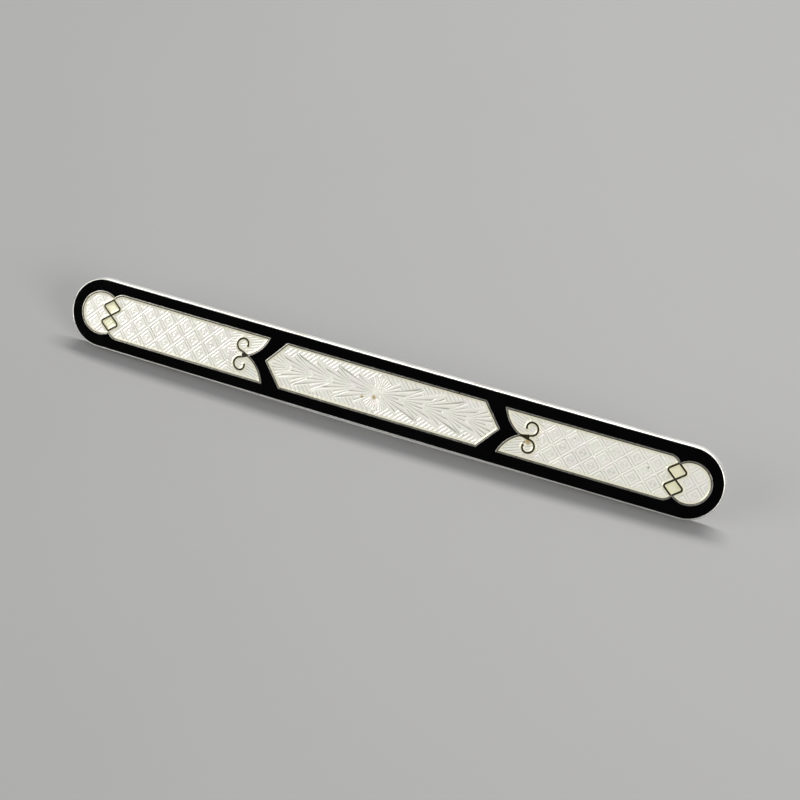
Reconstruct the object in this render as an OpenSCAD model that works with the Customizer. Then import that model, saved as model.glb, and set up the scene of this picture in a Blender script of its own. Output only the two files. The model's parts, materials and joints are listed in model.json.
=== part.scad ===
// Bar pin with champleve enamel on the face, and a hinged pin with a turning safety catch on the back.
// The bar is drawn flat, its length along X and its face up. It is then bowed along its length, and
// leaned over until its near long edge and its fastener rest on the plane z = 0.

/* [Bar] */
// Length of the bar over its round ends
bar_len = 60.3; // [56:0.1:70]
// Width of the bar
bar_w = 6.3; // [6:0.1:7]
// Thickness of the silver under the enamel
floor_t = 0.5; // [0.4:0.05:0.8]
// Thickness of the enamel
enamel_t = 0.4; // [0.2:0.05:0.6]
// Height of the rim over the enamel
rim_h = 0.05; // [0.02:0.01:0.1]
// Width of the rim
rim_w = 0.15; // [0.1:0.01:0.25]
// How far the middle of the bar stands above its ends
bow = 0.4; // [0.2:0.05:0.8]

/* [Line work] */
// Width of a silver line between two enamels
line_w = 0.17; // [0.12:0.01:0.2]
// Width of the centre panel, over its lines
centre_w = 4.16; // [4:0.02:4.6]
// Distance from the middle of the bar to the shoulders of the centre panel
shoulder_x = 9.17; // [8:0.01:9.5]
// Distance from the middle of the bar to the points of the centre panel
point_x = 10.88; // [10.6:0.01:11.1]
// Radius of the curve from a fish-tail tip to the notch
tail_r = 3.2; // [2.8:0.1:4]
// Radius of a scroll's outer turn
scroll_r = 0.57; // [0.5:0.01:0.62]
// Radius of a scroll's inner turn
curl_r = 0.44; // [0.36:0.01:0.48]
// Half of a diamond's size along the bar
diamond_l = 0.87; // [0.8:0.01:0.9]
// Half of a diamond's size across the bar
diamond_h = 0.71; // [0.68:0.01:0.74]
// Radius of a diamond's two rounded corners
diamond_r = 0.2; // [0.12:0.01:0.3]
// Distance from the middle of the bar to where a side panel's corner starts to turn
corner_x = 25.2; // [25:0.05:25.4]

/* [Left end, cut by hand and so a little different from the right] */
// Width of the left panel, over its lines
left_panel_w = 4.2; // [4:0.02:4.3]
// Distance from the middle of the bar to the left fish-tail tips
left_tail_x = 10.78; // [10.6:0.02:11]
// Distance from the middle of the bar to the left notch
left_notch_x = 12.42; // [12.3:0.02:12.6]
// Distance from the middle of the bar to the centres of the left scrolls
left_scroll_x = 13.14; // [13.1:0.02:13.6]
// Distance of the left scrolls' centres from the long axis
left_scroll_y = 0.84; // [0.72:0.01:0.88]
// Distance from the middle of the bar to the crossing of the left diamonds
left_cross_x = 26.2; // [26:0.02:26.3]
// Distance from the middle of the bar to the centre of the left cap
left_cap_x = 27.15; // [27.1:0.01:27.25]
// Radius of the left cap, to the middle of its line
left_cap_r = 1.9; // [1.76:0.01:1.92]

/* [Right end] */
// Width of the right panel, over its lines
right_panel_w = 4; // [4:0.02:4.3]
// Distance from the middle of the bar to the right fish-tail tips
right_tail_x = 10.9; // [10.6:0.02:11]
// Distance from the middle of the bar to the right notch
right_notch_x = 12.5; // [12.3:0.02:12.6]
// Distance from the middle of the bar to the centres of the right scrolls
right_scroll_x = 13.48; // [13.1:0.02:13.6]
// Distance of the right scrolls' centres from the long axis
right_scroll_y = 0.75; // [0.72:0.01:0.88]
// Distance from the middle of the bar to the crossing of the right diamonds
right_cross_x = 26.02; // [26:0.02:26.3]
// Distance from the middle of the bar to the centre of the right cap
right_cap_x = 27.24; // [27.1:0.01:27.25]
// Radius of the right cap, to the middle of its line
right_cap_r = 1.79; // [1.76:0.01:1.92]

/* [Pin] */
// Distance from the middle of the bar to the hinge
hinge_x = 21; // [18:0.5:22]
// Depth of the pin's axis below the back
pin_depth = 1.85; // [1.8:0.05:2.2]
// Radius of the pin's wire
stem_r = 0.4; // [0.3:0.01:0.45]
// Radius at the pin's point
point_r = 0.06; // [0.04:0.01:0.1]
// Length of the pin's taper
taper_len = 10; // [8:0.5:14]
// How far the point stands past the catch's centre
point_over = 3.2; // [2.5:0.1:3.5]
// Radius of the tube that the pin turns on
knuckle_r = 0.9; // [0.8:0.05:1]
// Width of that tube
knuckle_w = 1.1; // [1:0.05:1.3]
// Radius of the rivet
rivet_r = 0.4; // [0.3:0.01:0.45]
// Clearance between the tube and the rivet
rivet_gap = 0.05; // [0.03:0.01:0.08]
// Radius of the hinge's ears
ear_r = 0.9; // [0.8:0.05:0.95]
// Thickness of one ear
ear_t = 0.45; // [0.35:0.05:0.6]
// Clearance between the tube and each ear
ear_gap = 0.05; // [0.03:0.01:0.1]
// Length of a soldered patch
patch_l = 4.4; // [4:0.1:6]
// Width of a soldered patch
patch_w = 3.2; // [3:0.1:4]
// Thickness of a soldered patch
patch_t = 0.35; // [0.3:0.05:0.4]

/* [Safety catch] */
// Distance from the middle of the bar to the catch
catch_x = 21; // [18:0.5:22]
// Outer radius of the open ring
ring_r = 1.45; // [1.4:0.05:1.5]
// Inner radius of the open ring
ring_bore_r = 1; // [0.95:0.01:1.05]
// Width of the open ring along the bar
ring_w = 1.5; // [1.2:0.1:2]
// Width of the ring's mouth
mouth_w = 1; // [0.9:0.05:1.1]
// Clearance between the turning sleeve and the ring
sleeve_gap = 0.04; // [0.03:0.01:0.08]
// Radius of the sleeve's bore
sleeve_bore_r = 0.42; // [0.38:0.01:0.5]
// Width of the sleeve's slot
slot_w = 0.8; // [0.7:0.02:0.84]
// Radius of the sleeve's flanges
flange_r = 1.28; // [1.2:0.02:1.35]
// Thickness of a flange
flange_t = 0.4; // [0.3:0.05:0.6]
// Distance from the sleeve's axis to the end of the thumb tab
tab_reach = 2.3; // [2:0.1:2.5]
// Radius of the thumb tab's round end
tab_r = 0.5; // [0.4:0.05:0.6]

/* [Hidden] */

// Smoothness of small rounds, and of the very large bow
$fn = 96;
bow_fn = 1440;
// Height and width that reach past the bar
tall = 8;
wide = 2 * bar_w;
// Overlap between rectangles that make one shape
lap = 0.1;

// The bow is an arc across the bar's length. The back lies on this radius.
half_len = bar_len / 2;
bow_r = (half_len ^ 2 + bow ^ 2) / (2 * bow);
function droop(x) = bow_r - sqrt(bow_r ^ 2 - x ^ 2);

// Levels above the back
enamel_top = floor_t + enamel_t;
rim_top = enamel_top + rim_h;

// One end's line work: half width, fish-tail, notch, scroll centre, crossing, cap centre, cap radius
left_end = [left_panel_w / 2, left_tail_x, left_notch_x, [left_scroll_x, left_scroll_y],
    left_cross_x, left_cap_x, left_cap_r];
right_end = [right_panel_w / 2, right_tail_x, right_notch_x, [right_scroll_x, right_scroll_y],
    right_cross_x, right_cap_x, right_cap_r];
function half_w(e) = e[0];
function tail_x(e) = e[1];
function notch_x(e) = e[2];
function scroll_c(e) = e[3];
function cross_x(e) = e[4];
function cap_x(e) = e[5];
function cap_r(e) = e[6];

// Centre of the curve from a fish-tail tip to the notch
function tail_c(e) = let (
    chord = [notch_x(e) - tail_x(e), -half_w(e)],
    side = sqrt(tail_r ^ 2 - (norm(chord) / 2) ^ 2)
) [tail_x(e), half_w(e)] + chord / 2 + side * [half_w(e), chord.x] / norm(chord);

// Radius of a side panel's turned corner, which ends where its line meets a diamond. The corner's
// circle stands a little above the straight run, so that the two cross instead of just touching.
corner_over = 0.002;
function corner_r(e) = let (
    run = cross_x(e) - corner_x,
    drop = half_w(e) - line_w / 2 - 2 * diamond_h
) (run ^ 2 + drop ^ 2) / (2 * drop);
function corner_c(e) = [corner_x, half_w(e) - line_w / 2 - corner_r(e) + corner_over];

// Height of the small web where two scrolls start
web_h = 0.24;
// Angle where a scroll ends, and radius of its round end
curl_a = 165;
curl_end_r = 0.11;

// Angle of a diamond's side, and distance from its centre to that side
diamond_a = atan(diamond_h / diamond_l);
diamond_d = diamond_l * sin(diamond_a);
diamond_rx = diamond_l - diamond_r / sin(diamond_a);

// Pin and catch, below the bowed back
hinge_back = -droop(hinge_x);
hinge_z = hinge_back - pin_depth;
catch_back = -droop(catch_x);
catch_z = catch_back - pin_depth;
ear_y = knuckle_w / 2 + ear_gap;
ear_out = ear_y + ear_t;
// A rivet's head spreads as far as it is high
head_t = 0.15;
head_r = rivet_r + head_t;
point_tip_x = catch_x + point_over;
taper_x = point_tip_x - taper_len;
sleeve_r = ring_bore_r - sleeve_gap;
// Clearance between the ring and each flange
flange_gap = 0.05;
flange_x = ring_w / 2 + flange_gap;
sleeve_half = flange_x + flange_t;
// Width of the neck under the open ring
neck_w = 2;
// Radius of a patch's corners
patch_round = 0.6;
// How far the bowed back falls away over half of a patch
patch_rise = patch_l ^ 2 / (8 * bow_r);

// Lean of the bar, from its near lower edge to the underside of the open ring
rest_x = half_len - bar_w / 2;
rest_drop = -catch_z - droop(rest_x);
lean = atan(2 * rest_drop / bar_w) + asin(ring_r / norm([rest_drop, bar_w / 2]));
lift = bar_w / 2 * sin(lean) + droop(rest_x) * cos(lean);
near_y = -bar_w / 2 * cos(lean) - rim_top * sin(lean);
far_y = -catch_z * sin(lean) + max(ring_r, (tab_reach - tab_r) * cos(lean) + tab_r);

module place() translate([0, -(near_y + far_y) / 2, lift]) rotate([lean, 0, 0]) children();

// A solid block under the bowed surface that lies z above the back
module below(z) translate([0, 0, -bow_r]) rotate([90, 0, 0])
    cylinder(r = bow_r + z, h = wide, center = true, $fn = bow_fn);

// A flat shape, standing between two bowed levels
module layer(z0, z1) intersection() {
    translate([0, 0, -tall / 2]) linear_extrude(tall) children();
    difference() {
        below(z1);
        below(z0);
    }
}

// ---- flat shapes ----

module bar_shape(inset) {
    square([2 * rest_x, bar_w - 2 * inset], center = true);
    for (side = [-1, 1])
        translate([side * rest_x, 0]) circle(r = bar_w / 2 - inset);
}

module centre_shape(inset) {
    slope = atan(centre_w / 2 / (point_x - shoulder_x));
    w = centre_w / 2 - inset;
    px = point_x - inset / sin(slope);
    sx = px - w / tan(slope);
    polygon([[px, 0], [sx, w], [-sx, w], [-px, 0], [-sx, -w], [sx, -w]]);
}

// A rectangle from a little below the long axis up to y
module upright(x0, x1, y) translate([x0, -lap]) square([x1 - x0, y + lap]);

// Half of a side panel, above the long axis: fish-tail, straight run and turned corner
module half_panel_shape(e, inset) {
    w = half_w(e) - inset;
    intersection() {
        upright(tail_x(e), tail_c(e).x + lap, w);
        translate(tail_c(e)) circle(r = tail_r - inset);
    }
    upright(tail_c(e).x, corner_x, w);
    upright(corner_x - lap, cross_x(e), corner_c(e).y);
    intersection() {
        upright(corner_x - lap, cross_x(e), w);
        translate(corner_c(e)) circle(r = corner_r(e) + line_w / 2 - inset);
    }
}

module panel_shape(e, inset) {
    half_panel_shape(e, inset);
    mirror([0, 1]) half_panel_shape(e, inset);
}

module cap_shape(e, inset) intersection() {
    translate([cap_x(e), 0]) circle(r = cap_r(e) + line_w / 2 - inset);
    translate([cross_x(e), -bar_w / 2]) square([bar_w, bar_w]);
}

// A diamond with two rounded corners; inset is measured from the middle of its line
module diamond_shape(inset) {
    r = diamond_r - inset;
    top = diamond_h * (diamond_d - inset) / diamond_d;
    tx = diamond_rx + r * sin(diamond_a);
    ty = r * cos(diamond_a);
    polygon([[tx, ty], [0, top], [-tx, ty], [-tx, -ty], [0, -top], [tx, -ty]]);
    for (side = [-1, 1])
        translate([side * diamond_rx, 0]) circle(r = r);
}

module diamonds_shape(e, inset) {
    for (side = [-1, 1])
        translate([cross_x(e), side * diamond_h]) diamond_shape(inset);
}

module line_shape(a, b) {
    translate(a) rotate(atan2(b.y - a.y, b.x - a.x))
        translate([0, -line_w / 2]) square([norm(b - a), line_w]);
}

// A line along an arc, counter-clockwise between two angles less than 180 degrees apart
module arc_shape(c, r, from, to) {
    middle = (from + to) / 2;
    reach = 3 * r;
    translate(c) intersection() {
        difference() {
            circle(r = r + line_w / 2);
            circle(r = r - line_w / 2);
        }
        polygon([[0, 0], reach * [cos(from), sin(from)], reach * [cos(middle), sin(middle)],
            reach * [cos(to), sin(to)]]);
    }
}

// One scroll below the long axis, from the notch round its outer turn to its inner one
module scroll_shape(e) {
    c = [scroll_c(e).x, -scroll_c(e).y];
    curl_c = c - [0, scroll_r - curl_r];
    line_shape([notch_x(e) + line_w, 0], c + [0, scroll_r]);
    arc_shape(c, scroll_r, 0, 90);
    arc_shape(c, scroll_r, -90, 0);
    arc_shape(curl_c, curl_r, curl_a, 270);
    translate(curl_c + curl_r * [cos(curl_a), sin(curl_a)]) circle(r = curl_end_r);
}

module scrolls_shape(e) {
    scroll_shape(e);
    mirror([0, 1]) scroll_shape(e);
    translate([notch_x(e) + line_w, -web_h / 2])
        square([scroll_c(e).x - notch_x(e) - line_w, web_h]);
}

// All the silver lines of one end
module end_lines(e) {
    difference() {
        panel_shape(e, 0);
        panel_shape(e, line_w);
    }
    difference() {
        cap_shape(e, 0);
        cap_shape(e, line_w);
    }
    difference() {
        diamonds_shape(e, -line_w / 2);
        diamonds_shape(e, line_w / 2);
    }
    scrolls_shape(e);
}

module end_outline(e) {
    panel_shape(e, 0);
    cap_shape(e, 0);
    diamonds_shape(e, -line_w / 2);
}

module panel_field(e) difference() {
    panel_shape(e, line_w);
    diamonds_shape(e, -line_w / 2);
    scrolls_shape(e);
}

module cap_field(e) difference() {
    cap_shape(e, line_w);
    diamonds_shape(e, -line_w / 2);
}

module diamond_field(e, side)
    translate([cross_x(e), side * diamond_h]) diamond_shape(line_w / 2);

// ---- bar ----

module bar_plate() color("silver") place() difference() {
    layer(0, rim_top) bar_shape(0);
    layer(floor_t, tall) bar_shape(rim_w);
}

module centre_wire() color("silver") place() layer(floor_t, enamel_top) difference() {
    centre_shape(0);
    centre_shape(line_w);
}

module left_wire() color("silver") place()
    layer(floor_t, enamel_top) mirror([1, 0]) end_lines(left_end);

module right_wire() color("silver") place()
    layer(floor_t, enamel_top) end_lines(right_end);

module black_enamel() color("black") place() layer(floor_t, enamel_top) difference() {
    bar_shape(rim_w);
    centre_shape(0);
    end_outline(right_end);
    mirror([1, 0]) end_outline(left_end);
}

module centre_enamel() color("ivory") place() layer(floor_t, enamel_top) centre_shape(line_w);

module left_panel_enamel() color("ivory") place()
    layer(floor_t, enamel_top) mirror([1, 0]) panel_field(left_end);

module right_panel_enamel() color("ivory") place()
    layer(floor_t, enamel_top) panel_field(right_end);

module left_cap_enamel() color("ivory") place()
    layer(floor_t, enamel_top) mirror([1, 0]) cap_field(left_end);

module right_cap_enamel() color("ivory") place() layer(floor_t, enamel_top) cap_field(right_end);

module left_diamond_upper() color("linen") place()
    layer(floor_t, enamel_top) mirror([1, 0]) diamond_field(left_end, 1);

module left_diamond_lower() color("linen") place()
    layer(floor_t, enamel_top) mirror([1, 0]) diamond_field(left_end, -1);

module right_diamond_upper() color("linen") place()
    layer(floor_t, enamel_top) diamond_field(right_end, 1);

module right_diamond_lower() color("linen") place()
    layer(floor_t, enamel_top) diamond_field(right_end, -1);

// ---- hinge and pin ----

// A soldered patch with round corners, tilted to lie along the bowed back
module patch(x, back) translate([x, 0, back - patch_rise]) rotate([0, asin(x / bow_r), 0])
    translate([0, 0, -patch_t]) linear_extrude(patch_t) {
        square([patch_l - 2 * patch_round, patch_w], center = true);
        square([patch_l, patch_w - 2 * patch_round], center = true);
        for (sx = [-1, 1], sy = [-1, 1])
            translate([sx * (patch_l / 2 - patch_round), sy * (patch_w / 2 - patch_round)])
                circle(r = patch_round);
    }

module across(r, y0, y1) translate([-hinge_x, y1, hinge_z]) rotate([90, 0, 0])
    cylinder(r = r, h = y1 - y0);

module ear(y0) difference() {
    union() {
        across(ear_r, y0, y0 + ear_t);
        translate([-hinge_x - ear_r, y0, hinge_z])
            cube([2 * ear_r, ear_t, pin_depth - patch_t / 2]);
    }
    across(rivet_r, y0 - ear_t, y0 + 2 * ear_t);
}

module hinge_joint() color("silver") place() {
    patch(-hinge_x, hinge_back);
    ear(ear_y);
    ear(-ear_out);
}

module hinge_rivet() color("silver") place() {
    across(rivet_r, -ear_out, ear_out);
    for (side = [-1, 1])
        translate([-hinge_x, side * ear_out, hinge_z]) rotate([-side * 90, 0, 0])
            cylinder(r1 = head_r, r2 = rivet_r, h = head_t);
}

module pin_knuckle() color("silver") place() difference() {
    across(knuckle_r, -knuckle_w / 2, knuckle_w / 2);
    across(rivet_r + rivet_gap, -knuckle_w, knuckle_w);
}

module pin_stem() color("silver") place() difference() {
    translate([-hinge_x, 0, hinge_z]) rotate([0, 90, 0]) {
        cylinder(r = stem_r, h = taper_x + hinge_x);
        translate([0, 0, taper_x + hinge_x]) cylinder(r1 = stem_r, r2 = point_r, h = taper_len);
    }
    across(knuckle_r, -knuckle_w, knuckle_w);
}

// ---- safety catch ----

module along(r, x0, x1) translate([catch_x + x0, 0, catch_z]) rotate([0, 90, 0])
    cylinder(r = r, h = x1 - x0);

module catch_base() color("silver") place() patch(catch_x, catch_back);

// The open ring stands on a short neck, and its mouth faces away from the back
module catch_ring() color("silver") place() difference() {
    union() {
        along(ring_r, -ring_w / 2, ring_w / 2);
        translate([catch_x - ring_w / 2, -neck_w / 2, catch_z])
            cube([ring_w, neck_w, pin_depth - patch_t / 2]);
    }
    patch(catch_x, catch_back);
    along(ring_bore_r, -ring_w, ring_w);
    translate([catch_x - ring_w, -mouth_w / 2, catch_z - 2 * ring_r])
        cube([2 * ring_w, mouth_w, 2 * ring_r]);
}

// The sleeve turns inside the ring, between its two flanges. It is drawn open.
module catch_rotor() color("silver") place() difference() {
    union() {
        along(sleeve_r, -sleeve_half, sleeve_half);
        along(flange_r, flange_x, sleeve_half);
        along(flange_r, -sleeve_half, -flange_x);
        translate([catch_x + flange_x, 0, catch_z - tab_r])
            cube([flange_t, tab_reach - tab_r, 2 * tab_r]);
        translate([catch_x + flange_x, tab_reach - tab_r, catch_z]) rotate([0, 90, 0])
            cylinder(r = tab_r, h = flange_t);
    }
    along(sleeve_bore_r, -2 * sleeve_half, 2 * sleeve_half);
    translate([catch_x - 2 * sleeve_half, -slot_w / 2, catch_z - 2 * flange_r])
        cube([4 * sleeve_half, slot_w, 2 * flange_r]);
}

bar_plate();
centre_wire();
left_wire();
right_wire();
black_enamel();
centre_enamel();
left_panel_enamel();
right_panel_enamel();
left_cap_enamel();
right_cap_enamel();
left_diamond_upper();
left_diamond_lower();
right_diamond_upper();
right_diamond_lower();
hinge_joint();
hinge_rivet();
pin_knuckle();
pin_stem();
catch_base();
catch_ring();
catch_rotor();
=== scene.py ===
import json
import math

import bpy
import numpy as np
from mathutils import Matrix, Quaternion, Vector
from mathutils.geometry import delaunay_2d_cdt
from mathutils.kdtree import KDTree


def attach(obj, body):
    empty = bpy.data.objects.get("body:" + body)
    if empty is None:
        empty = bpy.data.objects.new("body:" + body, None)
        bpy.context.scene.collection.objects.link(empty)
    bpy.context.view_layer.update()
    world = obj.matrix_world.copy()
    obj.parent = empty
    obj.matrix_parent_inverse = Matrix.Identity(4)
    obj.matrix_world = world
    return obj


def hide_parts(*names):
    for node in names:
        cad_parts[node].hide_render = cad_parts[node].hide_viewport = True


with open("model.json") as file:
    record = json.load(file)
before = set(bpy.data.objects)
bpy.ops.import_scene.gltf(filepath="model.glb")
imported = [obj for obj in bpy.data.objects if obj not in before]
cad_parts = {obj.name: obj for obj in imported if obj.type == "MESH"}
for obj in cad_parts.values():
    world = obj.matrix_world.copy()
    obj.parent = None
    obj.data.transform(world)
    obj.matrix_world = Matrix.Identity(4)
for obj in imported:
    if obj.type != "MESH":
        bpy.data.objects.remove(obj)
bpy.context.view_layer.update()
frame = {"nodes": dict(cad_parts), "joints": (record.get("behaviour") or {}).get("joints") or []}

# An enamelled bar pin. Every shape below is worked out in millimetres on the flat bar: x along it, y across
# its face and z up from its back. on_bow() then bends it to the bar's bow, and to_row() leans it over.

MM = 0.001

# ---- sizes, in millimetres ----

# Bar: heights are above its back
BOW = 0.4                  # how far the middle rises over the ends
FLOOR = 0.5                # bottom of the recess
ENAMEL_TOP = 0.9
RIM_TOP = 0.95
RIM_W = 0.15
SHOULDER_W = 0.12          # the rim's outer rounding, inward and down the wall
SHOULDER_H = 0.3
BACK_SOFT = 0.12           # rounding of the back's edge
LEDGE = 0.1                # width of the strip of floor beside the recess's wall
OUTLINE_STEP = 0.5         # between points along the straight sides

# Line work
SILVER_BAND = 0.1          # the bright outer part of a line; the rest is its dark seam
SEAM_BLEND = 0.012
SEAM_DEPTH = 0.02
LINE_CROWN = 0.012         # how much a line rises inside its edge, and over what width
LINE_CROWN_W = 0.04
MENISCUS_W = 0.2           # how far from its edge an enamel starts to rise
MENISCUS_H = 0.035
BORDER_WAVE = 0.002        # height of the black enamel's faint hollows

# Mesh of the enamels and lines
FINE = 0.045
COARSE = 0.2
LINE_GRID = 0.045
RIM_STEP = 0.08            # the widest step along an outline
MEASURE_STEP = 0.03        # the step along the black enamel, where distances to it are measured
LONG_EDGE = 0.75           # CAD edges longer than this are straight, and shorter ones belong to arcs
SHARP_TURN = math.radians(24)
SHARP_EDGE = math.radians(50)
MERGE = 0.0005             # CAD points closer than this are one
LEVEL = 0.02               # CAD points this close to a height are at it

# Engine turning of the centre panel: fans that open away from FAN_X along the axis
FAN_X = -0.3
FAN_PITCH = 1.97
# How many fans back one starts, and how far round it still shows, in degrees: later ones lie on top
FAN_LIMITS = ((2, 13), (1, 22), (0, 38))
RAY_ANGLE = math.radians(10.0)
FAN_DEPTH = 0.07
FAN_UNEVEN = 0.28
BURST_R = 1.45             # the middle fan opens all round, this far
HUB_R = 0.5                # rays fade into a fan's hub, at this level
HUB_LEVEL = 0.9
STROKE_PITCH = 0.423       # edge strokes: along the axis
STROKE_SLANT = 0.95
STROKE_CUT = 0.88          # how deep they are, beside the fans

# Engine turning of the side panels: lozenges between crossing lines
LEFT_CROSSING = (-17.05, -0.03)
LEFT_LOZENGE = (0.882, 1.0)
RIGHT_CROSSING = (17.25, -0.03)
RIGHT_LOZENGE = (0.886, 0.88)
# From a lozenge's middle, 0, to the lines round it, 1: where each step is, and its level
LOZENGE_STEPS = [(0, 1.0), (0.28, 0.8), (0.36, 0.3), (0.44, 0.75), (0.6, 0.9), (0.76, 0.6), (0.83, 0.05),
                 (0.9, 0.85), (1.0, 1.0)]
LOZENGE_UNEVEN = 0.2
FACET_R = 0.36             # two quarters of each middle are cut deeper
FACET_CUT = 0.6
TAIL_X = 14.3              # the fish-tails, nearer the middle than this, have plain strokes
TAIL_FROM = 11.0
TAIL_SLOPE = 0.35
TAIL_PITCH = 0.24
TAIL_UNEVEN = 0.3

# How deep each field's cuts are, and how much painted shade greys them
LEFT_DEPTH, LEFT_SHADE = 0.038, 0.95
RIGHT_DEPTH, RIGHT_SHADE = 0.055, 1.0
CAP_DEPTH, CAP_SHADE = 0.035, 0.95
DIAMOND_DEPTH, DIAMOND_SHADE = 0.015, 0.3
CUT_MARGIN = 0.04          # cuts start this far inside a field's edge
CUT_FADE = 0.16            # and are full depth this much further in

# Small marks of age on the face: x, y, radius
SPECKS = [(-1.57, -0.62, 0.05), (-6.2, -1.66, 0.07), (23.65, 0.33, 0.08), (13.1, -0.5, 0.09),
          (17.2, 1.0, 0.06), (7.9, -1.38, 0.06)]
SPECK_SOFT = 0.5           # the part of a mark's radius over which it fades
SPECK_PIT = 0.02
STAINS = [(-0.5, -0.4, 0.28), (-1.57, -0.62, 0.2), (13.4, -0.35, 0.4)]
STAIN_SOFT = 0.7
STAIN = 0.75               # how strongly the stains show
NICKS = [(0.45, 0.05), (21.1, 0.07)]   # along the far rim: x, depth
NICK_W = 0.25

# Fastener
PIN_DEPTH = 1.85           # the stem's axis below the back
STEM_R = 0.4
STEM_ROOT = 0.35           # how far the stem starts inside the knuckle's radius
POINT_R = 0.06
TAPER = 10.0               # length of the point
POINT_OVER = 3.2           # how far the point passes the catch
KNUCKLE_R = 0.9
KNUCKLE_W = 1.1
KNUCKLE_SOFT = 0.1
BORE_SOFT = 0.05
RIVET_R = 0.4
RIVET_GAP = 0.05
RIVET_HEAD = 0.15
EAR_R = 0.9
EAR_T = 0.45
EAR_GAP = 0.05
PATCH = (4.4, 3.2, 0.35)   # length, width and thickness of a soldered patch
PATCH_ROUND = 0.6
RING_R = 1.45              # catch: its fixed ring
RING_BORE = 1.0
RING_W = 1.5
MOUTH = 1.0
NECK = 2.0
SLEEVE_GAP = 0.04          # its turning sleeve
SLEEVE_BORE = 0.42
SLEEVE_INSET = 0.02        # how far the sleeve's ends are inside its flanges
SLOT = 0.8
FLANGE_R = 1.28
FLANGE_T = 0.4
FLANGE_GAP = 0.05
TAB_REACH = 2.3
TAB_R = 0.5
FRAME_BEVEL = 0.06
SLEEVE_BEVEL = 0.05
BEVEL_ANGLE = math.radians(35)
ROUND_STEPS = 72           # points in a full turn
QUARTER = math.pi / 2

# ---- the bar's own coordinates, from the frame ----

# The pin swings about the bar's own y, so its axis gives the lean
joints = {j["name"]: j for j in frame["joints"]}
across = joints["pin_swing"]["axis"]
COS, SIN = across[1], across[2]


def lean_back(row):
    """Row coordinates in metres as (x, y, z) of the leaning bar in millimetres, from the row's origin."""
    p = np.asarray(row, float) / MM
    y, z = p[..., 1], p[..., 2]
    return np.stack([p[..., 0], y * COS + z * SIN, z * COS - y * SIN], -1)


def node_points(node):
    """A CAD node's points, in row coordinates."""
    mesh = frame["nodes"][node].data
    co = np.empty(len(mesh.vertices) * 3, np.float32)
    mesh.vertices.foreach_get("co", co)
    return co.reshape(-1, 3).astype(float)


plate = lean_back(node_points("bar_plate"))
HALF_LEN = (plate[:, 0].max() - plate[:, 0].min()) / 2
HALF_W = (plate[:, 1].max() - plate[:, 1].min()) / 2
ORIGIN = np.array([0, plate[:, 1].max() - HALF_W, plate[:, 2].max() - RIM_TOP])
STRAIGHT = HALF_LEN - HALF_W
BOW_R = (HALF_LEN ** 2 + BOW ** 2) / (2 * BOW)
HINGE = lean_back(joints["pin_swing"]["pos_m"]) - ORIGIN
CATCH = lean_back(joints["catch_turn"]["pos_m"]) - ORIGIN


def on_bow(x, z):
    """Height of the surface that lies z above the bar's bowed back, at x."""
    return np.sqrt((BOW_R + z) ** 2 - np.asarray(x, float) ** 2) - BOW_R


def to_row(points):
    """Flat-bar coordinates in millimetres as row coordinates in metres."""
    p = np.asarray(points, float) + ORIGIN
    y, z = p[..., 1], p[..., 2]
    return np.stack([p[..., 0], y * COS - z * SIN, y * SIN + z * COS], -1) * MM


# ---- materials ----

class Shader:
    """One material's node tree, with short calls for the nodes used here."""

    def __init__(self, name):
        self.material = bpy.data.materials.new(name)
        self.material.use_nodes = True
        self.tree = self.material.node_tree
        self.bsdf = self.tree.nodes["Principled BSDF"]

    def add(self, kind, **values):
        node = self.tree.nodes.new(kind)
        for key, value in values.items():
            setattr(node, key, value)
        return node

    def link(self, out, to):
        self.tree.links.new(out, to)

    def set(self, **values):
        for key, value in values.items():
            self.bsdf.inputs[key.replace("_", " ")].default_value = value

    def noise(self, size, detail, stretch=(1, 1, 1)):
        """Noise with features of the given size in millimetres."""
        where = self.add("ShaderNodeTexCoord")
        scale = self.add("ShaderNodeMapping")
        scale.inputs["Scale"].default_value = [s / (size * MM) for s in stretch]
        texture = self.add("ShaderNodeTexNoise")
        texture.inputs["Scale"].default_value = 1.0
        texture.inputs["Detail"].default_value = detail
        self.link(where.outputs["Object"], scale.inputs["Vector"])
        self.link(scale.outputs["Vector"], texture.inputs["Vector"])
        return texture.outputs["Fac"]

    def span(self, value, lo, hi, to_lo=0.0, to_hi=1.0):
        """value, from lo to hi, spread from to_lo to to_hi."""
        node = self.add("ShaderNodeMapRange")
        for socket, number in zip(("From Min", "From Max", "To Min", "To Max"), (lo, hi, to_lo, to_hi)):
            node.inputs[socket].default_value = number
        self.link(value, node.inputs["Value"])
        return node.outputs["Result"]

    def blend(self, amount, a, b):
        """Colour a where amount is 0 and b where it is 1. Each is a colour or a socket."""
        node = self.add("ShaderNodeMix", data_type="RGBA")
        self.link(amount, node.inputs["Factor"])
        for index, colour in ((6, a), (7, b)):
            if hasattr(colour, "is_output"):
                self.link(colour, node.inputs[index])
            else:
                node.inputs[index].default_value = (*colour, 1.0)
        return node.outputs[2]

    def attribute(self, name):
        """A number that finish_piece() stored at each point."""
        return self.add("ShaderNodeAttribute", attribute_name=name).outputs["Fac"]

    def bump(self, height, depth):
        """Relief from height, at most depth millimetres deep."""
        node = self.add("ShaderNodeBump")
        node.inputs["Strength"].default_value = 1.0
        node.inputs["Distance"].default_value = depth * MM
        self.link(height, node.inputs["Height"])
        self.link(node.outputs["Normal"], self.bsdf.inputs["Normal"])


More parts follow.
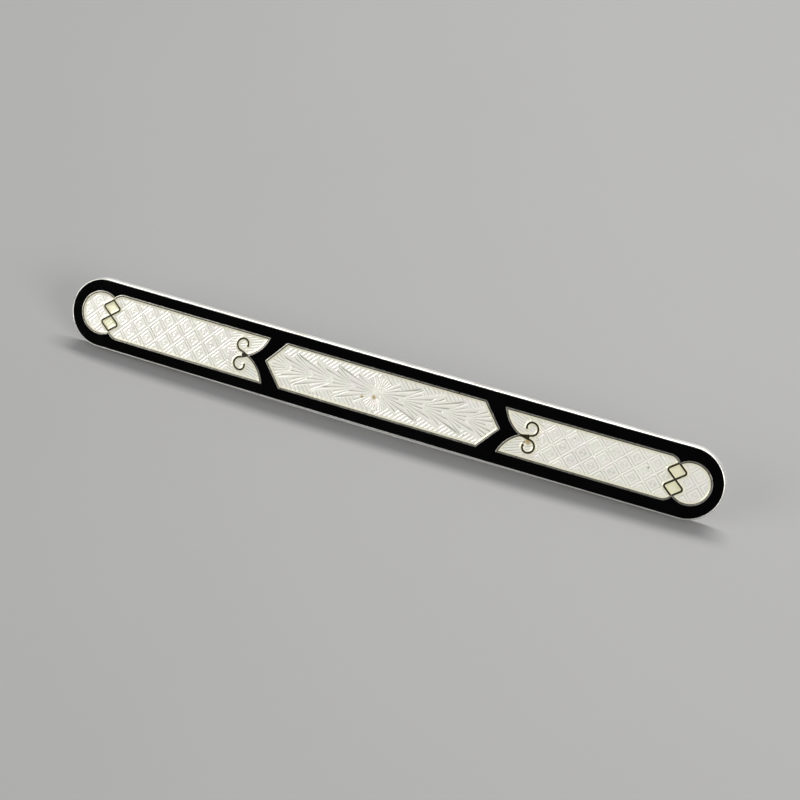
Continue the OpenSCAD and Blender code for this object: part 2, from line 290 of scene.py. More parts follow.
def metal(name, colour, tarnish, rough, scratch):
    """Polished silver with fine scratches and a little tarnish. rough is its least and most roughness."""
    s = Shader(name)
    s.set(Metallic=1.0)
    patches = s.span(s.noise(2.2, 3.0), 0.5, 0.72)
    s.link(s.blend(patches, colour, tarnish), s.bsdf.inputs["Base Color"])
    s.link(s.span(s.noise(1.5, 3.0), 0.3, 0.7, *rough), s.bsdf.inputs["Roughness"])
    s.bump(s.noise(0.35, 3.0, (0.06, 1, 1)), scratch)
    return s.material


# Painted shade: the olive colour painted along each enamel field's edge, where the line round it shades the
# enamel
EDGE_SHADE = (0.7, 0.66, 0.36)
STAIN_COLOUR = (0.42, 0.25, 0.015)
SPECK_COLOUR = (0.02, 0.012, 0.004)


def pearl(name, crest, groove, warm, cool):
    """Clear enamel over engine-turned silver: pale crests, cuts painted greyer as painted shade along the
    real cuts, faint pearly tints, and an olive painted shade along each field's edge.
    """
    s = Shader(name)
    s.set(Metallic=0.2, Roughness=0.3, Coat_Weight=0.6, Coat_Roughness=0.16, Coat_IOR=1.5)
    # Painted shade: the real engine-turned cuts are coloured towards the darker groove colour
    colour = s.blend(s.span(s.attribute("cut"), 0.0, 0.55), groove, crest)
    colour = s.blend(s.span(s.noise(1.3, 3.0), 0.5, 0.72, 0.0, 0.55), colour, warm)
    colour = s.blend(s.span(s.noise(0.9, 3.0, (1, 1.2, 1)), 0.55, 0.75, 0.0, 0.5), colour, cool)
    # Painted shade along the field's edge, strongest at the outline and gone 0.3 mm in
    colour = s.blend(s.span(s.attribute("edge"), 0.0, 0.3, 0.5, 0.0), colour, EDGE_SHADE)
    colour = s.blend(s.attribute("stain"), colour, STAIN_COLOUR)
    colour = s.blend(s.attribute("speck"), colour, SPECK_COLOUR)
    s.link(colour, s.bsdf.inputs["Base Color"])
    s.bump(s.noise(0.12, 2.0), 0.002)
    return s.material


def black_glass(name):
    """Opaque black enamel, slightly uneven in its polish."""
    s = Shader(name)
    clouds = s.span(s.noise(3.0, 4.0), 0.4, 0.7)
    s.link(s.blend(clouds, (0.0008, 0.0008, 0.001), (0.0016, 0.0016, 0.0018)), s.bsdf.inputs["Base Color"])
    s.link(s.span(s.noise(0.8, 6.0), 0.3, 0.8, 0.03, 0.09), s.bsdf.inputs["Roughness"])
    s.bump(s.noise(1.6, 2.0), 0.002)
    return s.material


def line_metal(name):
    """Silver on the outer side of a line, and a dark seam on its inner side."""
    s = Shader(name)
    seam = s.attribute("seam")
    silver = s.blend(s.span(s.noise(0.4, 4.0), 0.35, 0.7), (0.5, 0.49, 0.44), (0.3, 0.28, 0.23))
    s.link(s.blend(seam, silver, (0.022, 0.018, 0.008)), s.bsdf.inputs["Base Color"])
    s.link(s.span(seam, 0.0, 1.0, 0.85, 0.1), s.bsdf.inputs["Metallic"])
    s.link(s.span(s.noise(0.3, 4.0), 0.3, 0.7, 0.25, 0.42), s.bsdf.inputs["Roughness"])
    return s.material


SILVER = metal("silver", (0.9, 0.89, 0.85), (0.72, 0.69, 0.61), (0.38, 0.46), 0.0005)
BACK_SILVER = metal("fittings_silver", (0.86, 0.84, 0.8), (0.5, 0.44, 0.36), (0.14, 0.3), 0.006)
WIRE_SILVER = metal("pin_wire_silver", (0.84, 0.83, 0.81), (0.6, 0.56, 0.5), (0.1, 0.22), 0.003)
LINE_SILVER = line_metal("line_silver")
BLACK = black_glass("black_enamel")
WHITE = pearl("white_enamel", crest=(0.99, 0.98, 0.9), groove=(0.24, 0.235, 0.19),
              warm=(0.98, 0.88, 0.89), cool=(0.86, 0.92, 0.79))
CREAM = pearl("diamond_enamel", crest=(0.98, 0.96, 0.72), groove=(0.6, 0.57, 0.38),
              warm=(0.92, 0.8, 0.66), cool=(0.72, 0.78, 0.5))

# ---- meshes ----

def finish_piece(name, points, faces, material, body, nodes, values=None):
    """A mesh object of flat-bar points, on its body, standing for its CAD nodes. values are numbers for its
    material, one a point."""
    mesh = bpy.data.meshes.new(name)
    mesh.from_pydata(to_row(points).tolist(), [], [list(map(int, f)) for f in faces])
    mesh.validate()
    mesh.shade_smooth()
    mesh.set_sharp_from_angle(angle=SHARP_EDGE)
    for key, numbers in (values or {}).items():
        stored = mesh.attributes.new(key, "FLOAT", "POINT")
        stored.data.foreach_set("value", np.asarray(numbers, np.float32))
    mesh.materials.append(material)
    piece = bpy.data.objects.new(name, mesh)
    bpy.context.scene.collection.objects.link(piece)
    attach(piece, body)
    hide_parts(*nodes)
    return piece


def rim_edges(triangles):
    """Directed edges that only one triangle uses."""
    t = np.asarray(triangles)
    edges = np.concatenate([t[:, [0, 1]], t[:, [1, 2]], t[:, [2, 0]]])
    both = {tuple(e) for e in edges.tolist()}
    return [e for e in both if (e[1], e[0]) not in both]


def loops_of(edges):
    """The closed loops that directed edges make, as lists of vertex numbers."""
    after = {}
    for a, b in edges:
        after.setdefault(a, []).append(b)
    loops = []
    while after:
        start = next(iter(after))
        loop, here = [], start
        while here in after:
            loop.append(here)
            choices = after[here]
            step = choices.pop()
            if not choices:
                del after[here]
            here = step
        if len(loop) > 2:
            loops.append(loop)
    return loops


def top_loops(node):
    """The outlines of the top face of an enamel or a line, on the flat bar."""
    mesh = frame["nodes"][node].data
    mesh.calc_loop_triangles()
    corners = np.empty(len(mesh.loop_triangles) * 3, np.int32)
    mesh.loop_triangles.foreach_get("vertices", corners)
    p = lean_back(node_points(node)) - ORIGIN
    keys, merged = np.unique(np.round(p / MERGE).astype(np.int64), axis=0, return_inverse=True)
    merged = merged.reshape(-1)
    place = np.zeros((len(keys), 3))
    place[merged] = p
    triangles = merged[corners.reshape(-1, 3)]
    on_top = np.abs(place[:, 2] - on_bow(place[:, 0], ENAMEL_TOP)) < LEVEL
    triangles = triangles[on_top[triangles].all(axis=1)]
    distinct = (triangles != np.roll(triangles, 1, axis=1)).all(axis=1)
    return [place[loop, :2] for loop in loops_of(rim_edges(triangles[distinct]))]


def turned(v, angle):
    """A flat vector, turned counter-clockwise."""
    c, s = math.cos(angle), math.sin(angle)
    return np.array([v[0] * c - v[1] * s, v[0] * s + v[1] * c])


def filled_in(loop, step):
    """A loop with points every step: along its long edges, and along smooth arcs through its short ones."""
    n = len(loop)
    edge = np.roll(loop, -1, axis=0) - loop
    length = np.linalg.norm(edge, axis=1)
    unit = edge / length[:, None]
    before = np.roll(unit, 1, axis=0)
    turn = np.arctan2(before[:, 0] * unit[:, 1] - before[:, 1] * unit[:, 0], (before * unit).sum(axis=1))

    def tangent(i, corner, sign):
        """Edge i's direction at one of its ends. sign is -1 at its start and 1 at its end."""
        other = (i + sign) % n
        if abs(turn[corner]) > SHARP_TURN:
            far = turn[(corner - sign) % n]
            return turned(unit[i], sign * far / 2) if abs(far) < SHARP_TURN else unit[i]
        if length[other] > LONG_EDGE:
            return unit[other]
        t = unit[i] / length[i] + unit[other] / length[other]
        return t / np.linalg.norm(t)

    out = []
    for i in range(n):
        a, b = loop[i], loop[(i + 1) % n]
        count = max(1, round(length[i] / step))
        t = np.arange(count)[:, None] / count
        if length[i] > LONG_EDGE:
            out.append(a + (b - a) * t)
            continue
        ta, tb = tangent(i, i, -1) * length[i], tangent(i, (i + 1) % n, 1) * length[i]
        out.append((2 * t ** 3 - 3 * t ** 2 + 1) * a + (t ** 3 - 2 * t ** 2 + t) * ta
                   + (3 * t ** 2 - 2 * t ** 3) * b + (t ** 3 - t ** 2) * tb)
    return np.concatenate(out)


def inside(points, loops):
    """Which points lie inside the loops, where a loop inside another is a hole."""
    x, y = points[:, 0], points[:, 1]
    hit = np.zeros(len(points), bool)
    for loop in loops:
        a, b = loop, np.roll(loop, -1, axis=0)
        for (ax, ay), (bx, by) in zip(a, b):
            if ay != by:
                crossed = ((ay > y) != (by > y)) & (x < (bx - ax) * (y - ay) / (by - ay) + ax)
                hit ^= crossed
    return hit


class Distance:
    """Distance to a set of loops."""

    def __init__(self, loops):
        rim = np.concatenate(loops)
        self.tree = KDTree(len(rim))
        for i, (x, y) in enumerate(rim):
            self.tree.insert((x, y, 0), i)
        self.tree.balance()

    def __call__(self, points):
        return np.array([self.tree.find((x, y, 0))[2] for x, y in points])


def grid_inside(loops, spacing):
    """Staggered grid points inside the loops."""
    rim = np.concatenate(loops)
    (x0, y0), (x1, y1) = rim.min(axis=0), rim.max(axis=0)
    rise = spacing * math.sqrt(3) / 2
    rows = []
    for i, y in enumerate(np.arange(y0 + rise / 2, y1, rise)):
        x = np.arange(x0 + (i % 2) * spacing / 2, x1, spacing)
        rows.append(np.column_stack([x, np.full(len(x), y)]))
    points = np.concatenate(rows)
    return points[inside(points, loops)]


def triangulated(loops, extra):
    """Points and upward triangles that fill the loops, through the extra points."""
    edges, start = [], 0
    for loop in loops:
        n = len(loop)
        edges += [(start + i, start + (i + 1) % n) for i in range(n)]
        start += n
    points = np.concatenate([*loops, extra]) if len(extra) else np.concatenate(loops)
    made = delaunay_2d_cdt([Vector(p) for p in points.tolist()], edges, [], 0, 1e-6)
    flat = np.array([tuple(v) for v in made[0]])
    triangles = np.array([f for f in made[2] if len(f) == 3])
    corners = flat[triangles]
    triangles = triangles[inside(corners.mean(axis=1), loops)]
    a, b, c = (flat[triangles[:, i]] for i in range(3))
    area = (b[:, 0] - a[:, 0]) * (c[:, 1] - a[:, 1]) - (b[:, 1] - a[:, 1]) * (c[:, 0] - a[:, 0])
    triangles[area < 0] = triangles[area < 0][:, ::-1]
    return flat, triangles[np.abs(area) > 1e-12]


def inlay(name, node, spacing, shape, material):
    """A closed piece on the bar's floor with a worked top. shape(x, y, edge) gives its height over the
    enamel's level, and the numbers that its material reads. edge is the distance from its outline."""
    loops = [filled_in(loop, min(spacing * 1.3, RIM_STEP)) for loop in top_loops(node)]
    measure = Distance(loops)
    grid = grid_inside(loops, spacing)
    grid = grid[measure(grid) > spacing * 0.55]   # none so near the outline that a triangle is thin
    flat, triangles = triangulated(loops, grid)
    edge = measure(flat)
    height, values = shape(flat[:, 0], flat[:, 1], edge)
    top = np.column_stack([flat, on_bow(flat[:, 0], ENAMEL_TOP) + height])
    rims = loops_of(rim_edges(triangles))
    order = [i for rim in rims for i in rim]
    base = triangulated([flat[rim] for rim in rims], [])[1]
    bottom = np.column_stack([flat[order], on_bow(flat[order, 0], FLOOR)])
    first = len(top)
    faces = triangles.tolist() + (base[:, ::-1] + first).tolist()
    for rim in rims:
        n = len(rim)
        for i in range(n):
            j = (i + 1) % n
            faces.append([rim[j], rim[i], first + i, first + j])
        first += n
    values = {key: np.concatenate([v, v[order]]) for key, v in values.items()}
    points = np.concatenate([top, bottom])
    finish_piece(name, points, faces, material, "bar", [node], values)


# ---- engine turning ----

def fade(edge, width):
    """0 at the edge, rising smoothly to 1 at width from it."""
    t = np.clip(edge / width, 0, 1)
    return t * t * (3 - 2 * t)


def meniscus(edge):
    """Where the enamel climbs the line around it."""
    return MENISCUS_H * np.clip(1 - edge / MENISCUS_W, 0, 1) ** 2


def flute(phase):
    """A round ridge in each unit of phase, with a sharp cut between ridges."""
    return np.abs(np.sin(math.pi * phase)) ** 0.75


def uneven(a, b):
    """A steady number from 0 to 1 for each pair of whole numbers, as hand work varies. The large factors
    only scatter it."""
    t = np.sin(np.floor(a) * 12.9898 + np.floor(b) * 78.233) * 43758.5453
    return t - np.floor(t)


def varied(level, amount, number):
    """A level, lowered by up to amount of itself where number is low."""
    return level * (1 - amount + amount * number)


def palm_leaves(x, y):
    """The centre panel's cuts: overlapping fans along the axis, with slanted strokes at the edges."""
    out = np.abs(x - FAN_X)
    side = np.where(x < FAN_X, -1.0, 1.0)
    away = np.abs(y)
    phase = (out + away * STROKE_SLANT) / STROKE_PITCH
    vary = uneven(phase, side * 3 + np.sign(y))
    reach = np.ones_like(x)
    strength = np.full_like(x, STROKE_CUT)
    last = np.floor(out / FAN_PITCH)
    for back, limit in FAN_LIMITS:
        fan = last - back
        along = out - fan * FAN_PITCH
        angle = np.arctan2(away, along)
        burst = (fan == 0) & (np.hypot(along, away) < BURST_R)
        top = np.where(burst, math.pi, math.radians(limit))
        here = (fan >= 0) & (angle < top)
        ray = np.where(y < 0, -angle, angle) / RAY_ANGLE + 0.5 * (fan % 2)
        phase = np.where(here, ray, phase)
        vary = np.where(here, uneven(ray, fan * side), vary)
        reach = np.where(here, np.clip(np.hypot(along, away) / HUB_R, 0, 1), reach)
        strength = np.where(here, 1.0, strength)
    cut = varied(flute(phase) * reach, FAN_UNEVEN, vary) + (1 - reach) * HUB_LEVEL
    return 1 - strength * (1 - cut)


def lozenges(x, y, crossing, size):
    """The side panels' cuts: raised lines that cross, and smaller lozenges inside each cell."""
    a, b = (x - crossing[0]) / size[0], (y - crossing[1]) / size[1]
    m, n = (a + b) / 2, (a - b) / 2
    fm, fn = m - np.floor(m) - 0.5, n - np.floor(n) - 0.5
    d = 2 * np.maximum(np.abs(fm), np.abs(fn))
    rings = np.interp(d, *zip(*LOZENGE_STEPS))
    facet = np.where((fm * fn > 0) & (d < FACET_R), FACET_CUT * (1 - d / FACET_R), 0.0)
    return varied(rings, LOZENGE_UNEVEN, uneven(m, n)) - facet


def strokes(x, y):
    """The fish-tails' plain cuts."""
    phase = (np.abs(y) + (np.abs(x) - TAIL_FROM) * TAIL_SLOPE) / TAIL_PITCH
    return varied(flute(phase), TAIL_UNEVEN, uneven(phase, np.sign(y)))


def side_cuts(crossing, size):
    """A side's cuts: strokes in its fish-tail, and lozenges with this place and size beyond."""
    def cuts(x, y):
        return np.where(np.abs(x) < TAIL_X, strokes(x, y), lozenges(x, y, crossing, size))
    return cuts


def marks(x, y, places, soft):
    """How strongly the given round marks show, from 0 to 1. soft is the part of the radius that fades."""
    out = np.zeros_like(x)
    for mx, my, r in places:
        away = np.hypot(x - mx, y - my) / r
        out = np.maximum(out, np.clip((1 - away) / soft, 0, 1))
    return out


def field(cuts, depth, shade=1.0):
    """The shape of an enamel field. cuts(x, y) is 0 in a cut and 1 on a crest, and shade is how much
    painted shade greys the cuts."""
    def shape(x, y, edge):
        amount = fade(edge - CUT_MARGIN, CUT_FADE)
        cut = amount * (1 - cuts(x, y))
        speck = marks(x, y, SPECKS, SPECK_SOFT)
        values = {"cut": 1 - shade * cut, "edge": edge, "speck": speck,
                  "stain": STAIN * marks(x, y, STAINS, STAIN_SOFT)}
        return meniscus(edge) - depth * cut - SPECK_PIT * speck, values
    return shape


def border(x, y, edge):
    """Black enamel, polished flat, with faint hollows a few millimetres apart."""
    return BORDER_WAVE * np.sin(x * 1.7 + 0.6 * np.sin(y * 2.1)) * np.cos(y * 1.9 + x * 0.4), {}


def lines(black):
    """The shape of the silver lines: a bright band beside the black enamel, and a dark seam beyond it.
    black gives the distance to the black enamel."""
    def shape(x, y, edge):
        away = black(np.column_stack([x, y]))
        seam = np.clip((away - SILVER_BAND) / SEAM_BLEND, 0, 1)
        return LINE_CROWN * np.clip(edge / LINE_CROWN_W, 0, 1) - SEAM_DEPTH * seam, {"seam": seam}
    return shape


left_cuts = side_cuts(LEFT_CROSSING, LEFT_LOZENGE)
right_cuts = side_cuts(RIGHT_CROSSING, RIGHT_LOZENGE)
left_side = field(left_cuts, LEFT_DEPTH, LEFT_SHADE)
right_side = field(right_cuts, RIGHT_DEPTH, RIGHT_SHADE)
inlay("centre_field", "centre_enamel", FINE, field(palm_leaves, FAN_DEPTH), WHITE)
inlay("left_field", "left_panel_enamel", FINE, left_side, WHITE)
inlay("right_field", "right_panel_enamel", FINE, right_side, WHITE)
for end, cuts in (("left", left_cuts), ("right", right_cuts)):
    cap = field(cuts, CAP_DEPTH, CAP_SHADE)
    inlay(end + "_cap_field", end + "_cap_enamel", FINE, cap, WHITE)
for end, cuts in (("left", left_cuts), ("right", right_cuts)):
    diamond = field(cuts, DIAMOND_DEPTH, DIAMOND_SHADE)
    for node in (end + "_diamond_upper", end + "_diamond_lower"):
        inlay(node + "_field", node, FINE, diamond, CREAM)
inlay("black_border", "black_enamel", COARSE, border, BLACK)
black_distance = Distance([filled_in(loop, MEASURE_STEP) for loop in top_loops("black_enamel")])
for node in ("centre_wire", "left_wire", "right_wire"):
    inlay(node.replace("wire", "lines"), node, LINE_GRID, lines(black_distance), LINE_SILVER)

# ---- bar ----

def capsule(inset):
    """The bar's outline, set in, counter-clockwise: it has the same number of points at any inset."""
    r = HALF_W - inset
    count = round(2 * STRAIGHT / OUTLINE_STEP)
    turn = np.linspace(-QUARTER, QUARTER, ROUND_STEPS + 1)
    along = np.linspace(-STRAIGHT, STRAIGHT, count + 1)[1:-1]
    right = np.column_stack([STRAIGHT + r * np.cos(turn), r * np.sin(turn)])
    left = -right
    lower = np.column_stack([along, np.full(len(along), -r)])
    return np.concatenate([right, -lower, left, lower])


def round_rectangle(size, corner, inset):
    """A rectangle with round corners, set in, counter-clockwise."""
    r = corner - inset
    points = []
    for i, (sx, sy) in enumerate(((1, 1), (-1, 1), (-1, -1), (1, -1))):
        turn = np.linspace(0, QUARTER, 13) + i * QUARTER
        middle = (sx * (size[0] / 2 - inset - r), sy * (size[1] / 2 - inset - r))
        points.append(np.column_stack([middle[0] + r * np.cos(turn), middle[1] + r * np.sin(turn)]))
    return np.concatenate(points)


def stacked(outline, profile):
    """Rings of outline(inset) at the heights of profile, a list of (inset, height), joined from first to
    last and open at both ends. Returns the points, the faces and the number of points in a ring."""
    n = len(outline(0))
    rings = [np.column_stack([outline(inset), np.full(n, z)]) for inset, z in profile]
    faces = []
    for k in range(len(rings) - 1):
        for i in range(n):
            j = (i + 1) % n
            faces.append([k * n + i, k * n + j, (k + 1) * n + j, (k + 1) * n + i])
    return np.concatenate(rings), faces, n


def closed_ends(points, faces, n):
    """Adds a flat end over the first and the last ring."""
    last = len(points) - n
    faces.append(list(range(n))[::-1])
    faces.append([last + i for i in range(n)])
    return faces


def strips(n, first, turned_over):
    """Faces that fill a capsule ring of n points from side to side, starting at its right end's middle."""
    faces = []
    ring = [first + (ROUND_STEPS // 2 + i) % n for i in range(n)]
    for i in range(n // 2):
        a, b, c, d = ring[i], ring[(i + 1) % n], ring[(-i - 1) % n], ring[-i % n]
        corners = list(dict.fromkeys([a, b, c, d]))
        if len(corners) > 2:
            faces.append(corners[::-1] if turned_over else corners)
    return faces


def build_bar():
    """The silver bar: a bowed tray with a round-topped rim and soft edges all round."""
    back_edge = [(BACK_SOFT * (1 - math.sin(t)), BACK_SOFT * (1 - math.cos(t)))
                 for t in np.linspace(0, QUARTER, 5)]
    turn = np.linspace(0, QUARTER, 13)
    rim = [(SHOULDER_W * (1 - math.cos(t)), RIM_TOP - SHOULDER_H * (1 - math.sin(t))) for t in turn]
    lip = RIM_W - SHOULDER_W
    rim += [(SHOULDER_W + lip * math.cos(t), RIM_TOP - lip * (1 - math.sin(t))) for t in turn[::-1][1:]]
    profile = [*back_edge, *rim, (RIM_W, FLOOR), (RIM_W + LEDGE, FLOOR)]
    points, faces, n = stacked(capsule, profile)
    faces += strips(n, 0, True) + strips(n, len(points) - n, False)
    x, y = points[:, 0], points[:, 1]
    z = on_bow(x, points[:, 2])
    high = np.clip((points[:, 2] - FLOOR) / (RIM_TOP - FLOOR), 0, 1)
    for nick_x, depth in NICKS:
        near = np.exp(-((x - nick_x) / NICK_W) ** 2) * (y > HALF_W - 2 * RIM_W) * high ** 2
        z = z - depth * near
        y = y - depth * near * 0.5
    finish_piece("bar_body", np.column_stack([x, y, z]), faces, SILVER, "bar", ["bar_plate"])


build_bar()

# ---- fittings ----

def bevelled(piece, width):
    """Soft edges, and flat faces that stay flat."""
    bevel = piece.modifiers.new("soft edges", "BEVEL")
    bevel.width = width * MM
    bevel.segments = 3
    bevel.limit_method = "ANGLE"
    bevel.angle_limit = BEVEL_ANGLE
    bevel.harden_normals = True


def slab(outline, near, far, axes):
    """An outline of (a, b) points, drawn from near to far along c. axes puts (a, b, c) on the bar."""
    n = len(outline)
    a, b = np.asarray(outline, float).T
    points = np.concatenate([axes(a, b, np.full(n, near)), axes(a, b, np.full(n, far))])
    faces = [list(range(n))[::-1], [n + i for i in range(n)]]
    faces += [[i, (i + 1) % n, n + (i + 1) % n, n + i] for i in range(n)]
    return points, faces


def turned_profile(profile, axes):
    """A profile of (radius, c) points turned round the c axis. One that doesn't come back to its start is
    closed with a flat end at each side."""
    profile = np.asarray(profile, float)
    n, faces = ROUND_STEPS, []
    turn = np.linspace(0, 2 * math.pi, n, endpoint=False)
    rings = [axes(r * np.cos(turn), r * np.sin(turn), np.full(n, c)) for r, c in profile]
    for k in range(len(rings) - 1):
        faces += [[k * n + i, k * n + (i + 1) % n, (k + 1) * n + (i + 1) % n, (k + 1) * n + i]
                  for i in range(n)]
    points = np.concatenate(rings)
    if not np.allclose(profile[0], profile[-1]):
        faces = closed_ends(points, faces, n)
    return points, faces


def joined(*parts):
    """Several (points, faces) as one."""
    points, faces, start = [], [], 0
    for p, f in parts:
        points.append(p)
        faces += [[i + start for i in face] for face in f]
        start += len(p)
    return np.concatenate(points), faces


def across_hinge(a, b, c):
    """Axes with c along the rivet, a along the bar and b down, from the hinge's middle."""
    return np.stack([HINGE[0] + a, c, HINGE[2] - b], -1)


def along_hinge(a, b, c):
    """Axes with c along the bar, a across it and b up, from the hinge's middle."""
    return np.stack([HINGE[0] + c, a, HINGE[2] + b], -1)


def along_catch(a, b, c):
    """The same from the catch's middle."""
    return np.stack([CATCH[0] + c, a, CATCH[2] + b], -1)


def arc(r, start, end):
    """Points on a circle of radius r, from one angle to another, in degrees."""
    count = max(3, round(ROUND_STEPS * abs(end - start) / 360))
    return [(r * math.cos(t), r * math.sin(t)) for t in np.radians(np.linspace(start, end, count))]


def patch(x):
    """A soldered patch under the back, tilted along the bow, with a fillet of solder round it."""
    length, width, thick = PATCH
    solder = [(-0.16, 0.0), (-0.1, 0.025), (-0.04, 0.07), (0, 0.15)]
    soft_edge = [(0, thick - 0.07), (0.02, thick - 0.02), (0.07, thick)]
    points, faces, n = stacked(lambda inset: round_rectangle((length, width), PATCH_ROUND, inset),
                               solder + soft_edge)
    faces = closed_ends(points, faces, n)
    tilt = math.asin(x / BOW_R)
    back = float(on_bow(x, 0)) - length ** 2 / (8 * BOW_R)
    depth = -points[:, 2]
    a = points[:, 0]
    return (np.column_stack([x + a * math.cos(tilt) + depth * math.sin(tilt), -points[:, 1],
                             back - a * math.sin(tilt) + depth * math.cos(tilt)]), faces)


def build_hinge():
    """The soldered patch with its two ears, and the rivet."""
    stand = PIN_DEPTH - PATCH[2] / 2
    outline = arc(EAR_R, 0, 180) + [(-EAR_R, -stand), (EAR_R, -stand)]
    ear_in = KNUCKLE_W / 2 + EAR_GAP
    ear_out = ear_in + EAR_T
    points, faces = joined(patch(HINGE[0]), slab(outline, -ear_out, -ear_in, across_hinge),
                           slab(outline, ear_in, ear_out, across_hinge))
    piece = finish_piece("hinge_frame", points, faces, BACK_SILVER, "bar", ["hinge_joint"])
    bevelled(piece, FRAME_BEVEL)

    head = RIVET_R + RIVET_HEAD
    dome = [(head * math.cos(t), RIVET_HEAD * math.sin(t)) for t in np.radians(np.linspace(0, 88, 9))]
    right = [(r, ear_out + c) for r, c in dome]
    profile = [(r, -c) for r, c in right[::-1]] + [(RIVET_R, -ear_out), (RIVET_R, ear_out)] + right
    points, faces = turned_profile(profile, across_hinge)
    finish_piece("hinge_rivet_pin", points, faces, BACK_SILVER, "bar", ["hinge_rivet"])


def build_pin():
    """The knuckle on the rivet, and the stem with its point."""
    half, bore, soft = KNUCKLE_W / 2, RIVET_R + RIVET_GAP, KNUCKLE_SOFT
    side = [(bore, half - BORE_SOFT), (bore + BORE_SOFT, half), (KNUCKLE_R - soft, half),
            (KNUCKLE_R - soft * 0.3, half - soft * 0.3), (KNUCKLE_R, half - soft)]
    profile = [(r, -c) for r, c in side] + side[::-1] + [(bore, BORE_SOFT - half)]
    points, faces = turned_profile(profile, across_hinge)
    finish_piece("pin_tube", points, faces, BACK_SILVER, "pin", ["pin_knuckle"])

    tip = CATCH[0] + POINT_OVER - HINGE[0]
    start = KNUCKLE_R - STEM_ROOT
    profile = [(STEM_R, start), (STEM_R, tip - TAPER)]
    for t in np.linspace(0.95, 0, 16):
        profile.append((POINT_R + (STEM_R - POINT_R) * t, tip - POINT_R - (TAPER - POINT_R) * t))
    for t in np.linspace(0.1, 1.56, 7):
        profile.append((POINT_R * math.cos(t), tip - POINT_R * (1 - math.sin(t))))
    points, faces = turned_profile(profile, along_hinge)
    finish_piece("pin_wire", points, faces, WIRE_SILVER, "pin", ["pin_stem"])


def half_gap(gap, r):
    """Half the angle of a gap in a circle of radius r, in degrees."""
    return math.degrees(math.asin(gap / 2 / r))


def open_ring(outer, inner, gap, around=None):
    """The outline of a ring open downward. around takes the place of the outer arc's points."""
    a, b = half_gap(gap, outer), half_gap(gap, inner)
    return (around or arc(outer, -90 + a, 270 - a)) + arc(inner, 270 - b, -90 + b)


def build_catch():
    """The soldered patch, the open ring on it, and the turning sleeve with its thumb tab."""
    points, faces = patch(CATCH[0])
    finish_piece("catch_foot", points, faces, BACK_SILVER, "bar", ["catch_base"])

    mouth = half_gap(MOUTH, RING_R)
    neck = 90 - half_gap(NECK, RING_R)
    stand = PIN_DEPTH - PATCH[2]
    outer = (arc(RING_R, -90 + mouth, neck) + [(NECK / 2, stand), (-NECK / 2, stand)]
             + arc(RING_R, 180 - neck, 270 - mouth))
    points, faces = slab(open_ring(RING_R, RING_BORE, MOUTH, outer), -RING_W / 2, RING_W / 2, along_catch)
    ring = finish_piece("catch_open_ring", points, faces, BACK_SILVER, "bar", ["catch_ring"])
    bevelled(ring, FRAME_BEVEL)

    sleeve_r = RING_BORE - SLEEVE_GAP
    flange_x = RING_W / 2 + FLANGE_GAP
    end_x = flange_x + FLANGE_T
    slot = half_gap(SLOT, FLANGE_R)
    rise = half_gap(2 * TAB_R, FLANGE_R)
    tab_y = TAB_REACH - TAB_R
    tab = [(tab_y + TAB_R * math.cos(t), TAB_R * math.sin(t)) for t in np.radians(np.linspace(-90, 90, 25))]
    with_tab = arc(FLANGE_R, -90 + slot, -rise) + tab + arc(FLANGE_R, rise, 270 - slot)
    sleeve_x = end_x - SLEEVE_INSET
    points, faces = joined(
        slab(open_ring(sleeve_r, SLEEVE_BORE, SLOT), -sleeve_x, sleeve_x, along_catch),
        slab(open_ring(FLANGE_R, SLEEVE_BORE, SLOT), -end_x, -flange_x, along_catch),
        slab(open_ring(FLANGE_R, SLEEVE_BORE, SLOT, with_tab), flange_x, end_x, along_catch))
    sleeve = finish_piece("catch_sleeve_tab", points, faces, BACK_SILVER, "catch_sleeve",
                          ["catch_rotor"])
    bevelled(sleeve, SLEEVE_BEVEL)


build_hinge()
build_pin()
build_catch()

# ---- floor, light and camera ----

FLOOR_SIZE = 4.0           # metres
# The camera: its direction from the bar, its distance in millimetres, and how far to the right of the bar's
# middle and above it the camera aims
LOOK_AZIMUTH, LOOK_ELEVATION, LOOK_ROLL = (math.radians(a) for a in (22.144, 47.405, -0.45))
LOOK_DISTANCE = 147.07
LOOK_RIGHT, LOOK_UP = 1.69, -0.48
LENS = 77.27
# The sky is brightest within SKY_BRIGHT of a point SKY_BACK behind overhead, and darkest beyond SKY_DARK
SKY_BACK, SKY_BRIGHT, SKY_DARK = (math.radians(a) for a in (35, 35, 75))
DARK_LIGHT, BRIGHT_LIGHT = 0.02, 0.6
SKY_COLOUR = (0.94, 0.97, 1.0, 1)
NEUTRAL, WARM = (1.0, 0.99, 0.96), (1.0, 0.985, 0.95)


def toward(azimuth, elevation):
    """The direction from the bar at these angles in radians. Azimuth 0 is in front of it."""
    level = math.cos(elevation)
    return Vector((math.sin(azimuth) * level, -math.cos(azimuth) * level, math.sin(elevation)))


def build_floor():
    """A plain matt surface under the bar."""
    s = Shader("pale_floor")
    greys = s.blend(s.noise(40.0, 3.0), (0.225, 0.225, 0.228), (0.24, 0.24, 0.243))
    s.link(greys, s.bsdf.inputs["Base Color"])
    s.set(Roughness=0.6)
    half = FLOOR_SIZE / 2
    corners = [(-half, -half, 0), (half, -half, 0), (half, half, 0), (-half, half, 0)]
    mesh = bpy.data.meshes.new("floor")
    mesh.from_pydata(corners, [], [(0, 1, 2, 3)])
    mesh.materials.append(s.material)
    floor = bpy.data.objects.new("floor", mesh)
    bpy.context.scene.collection.objects.link(floor)


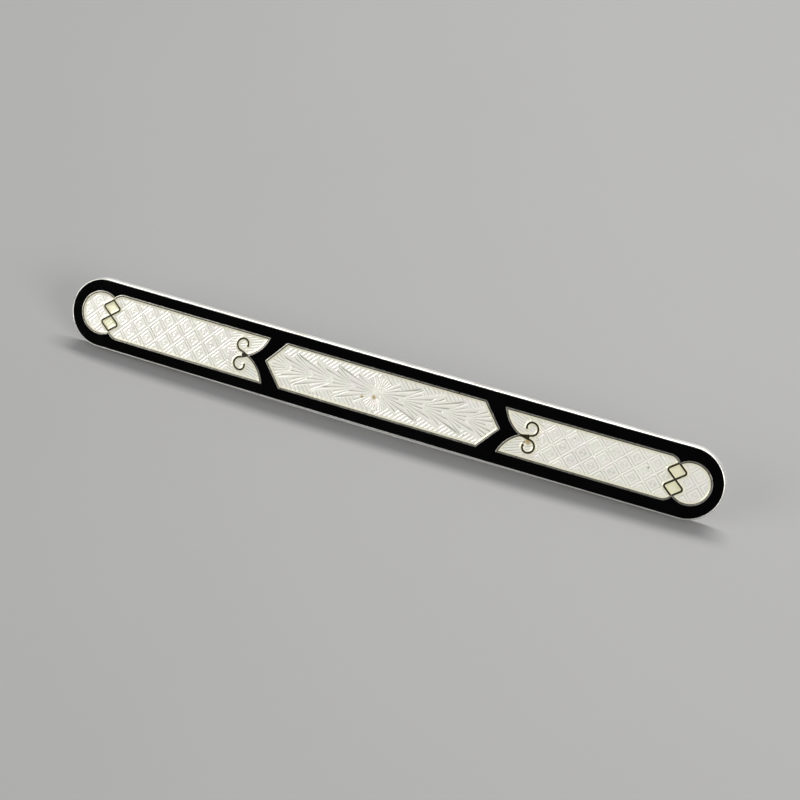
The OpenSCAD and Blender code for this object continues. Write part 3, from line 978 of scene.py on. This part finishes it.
def soft_light(name, azimuth, elevation, distance, size, power, colour):
    """An area light that looks at the bar. Angles are in degrees, and distance and size in metres."""
    away = toward(math.radians(azimuth), math.radians(elevation))
    data = bpy.data.lights.new(name, "AREA")
    data.shape = "RECTANGLE"
    data.size, data.size_y = size
    data.energy = power
    data.color = colour
    light = bpy.data.objects.new(name, data)
    light.location = away * distance
    light.rotation_mode = "QUATERNION"
    light.rotation_quaternion = away.to_track_quat("Z", "Y")
    bpy.context.scene.collection.objects.link(light)


def build_world():
    """A sky whose brightness falls with the angle from one bright point."""
    world = bpy.data.worlds.new("studio")
    world.use_nodes = True
    nodes, links = world.node_tree.nodes, world.node_tree.links
    background = nodes["Background"]
    background.inputs["Color"].default_value = SKY_COLOUR
    where = nodes.new("ShaderNodeTexCoord")
    height = nodes.new("ShaderNodeVectorMath")
    glow = nodes.new("ShaderNodeMapRange")
    height.operation = "DOT_PRODUCT"
    height.inputs[1].default_value = (0, math.sin(SKY_BACK), math.cos(SKY_BACK))
    glow.inputs["From Min"].default_value = math.cos(SKY_DARK)
    glow.inputs["From Max"].default_value = math.cos(SKY_BRIGHT)
    glow.inputs["To Min"].default_value = DARK_LIGHT
    glow.inputs["To Max"].default_value = BRIGHT_LIGHT
    links.new(where.outputs["Generated"], height.inputs[0])
    links.new(height.outputs["Value"], glow.inputs["Value"])
    links.new(glow.outputs["Result"], background.inputs["Strength"])
    bpy.context.scene.world = world


def build_camera():
    """The photograph's view."""
    away = toward(LOOK_AZIMUTH, LOOK_ELEVATION)
    turn = (-away).to_track_quat("-Z", "Y") @ Quaternion((0, 0, 1), LOOK_ROLL)
    middle = Vector(to_row([0, 0, float(on_bow(0, ENAMEL_TOP))]))
    aim = middle + (turn @ Vector((LOOK_RIGHT, LOOK_UP, 0))) * MM
    camera = bpy.data.objects.new("camera", bpy.data.cameras.new("camera"))
    camera.data.lens = LENS
    camera.data.clip_start = 0.005
    camera.location = aim + away * LOOK_DISTANCE * MM
    camera.rotation_mode = "QUATERNION"
    camera.rotation_quaternion = turn
    bpy.context.scene.collection.objects.link(camera)
    bpy.context.scene.camera = camera


build_floor()
soft_light("key_from_behind", 176, 49, 1.4, (1.2, 0.14), 22.0, WARM)
soft_light("front_left", -58, 28, 0.8, (0.6, 0.42), 3.5, NEUTRAL)
soft_light("front_right", 62, 30, 0.8, (0.4, 0.3), 4.5, NEUTRAL)
build_world()
build_camera()
bpy.context.scene.view_settings.view_transform = "Standard"
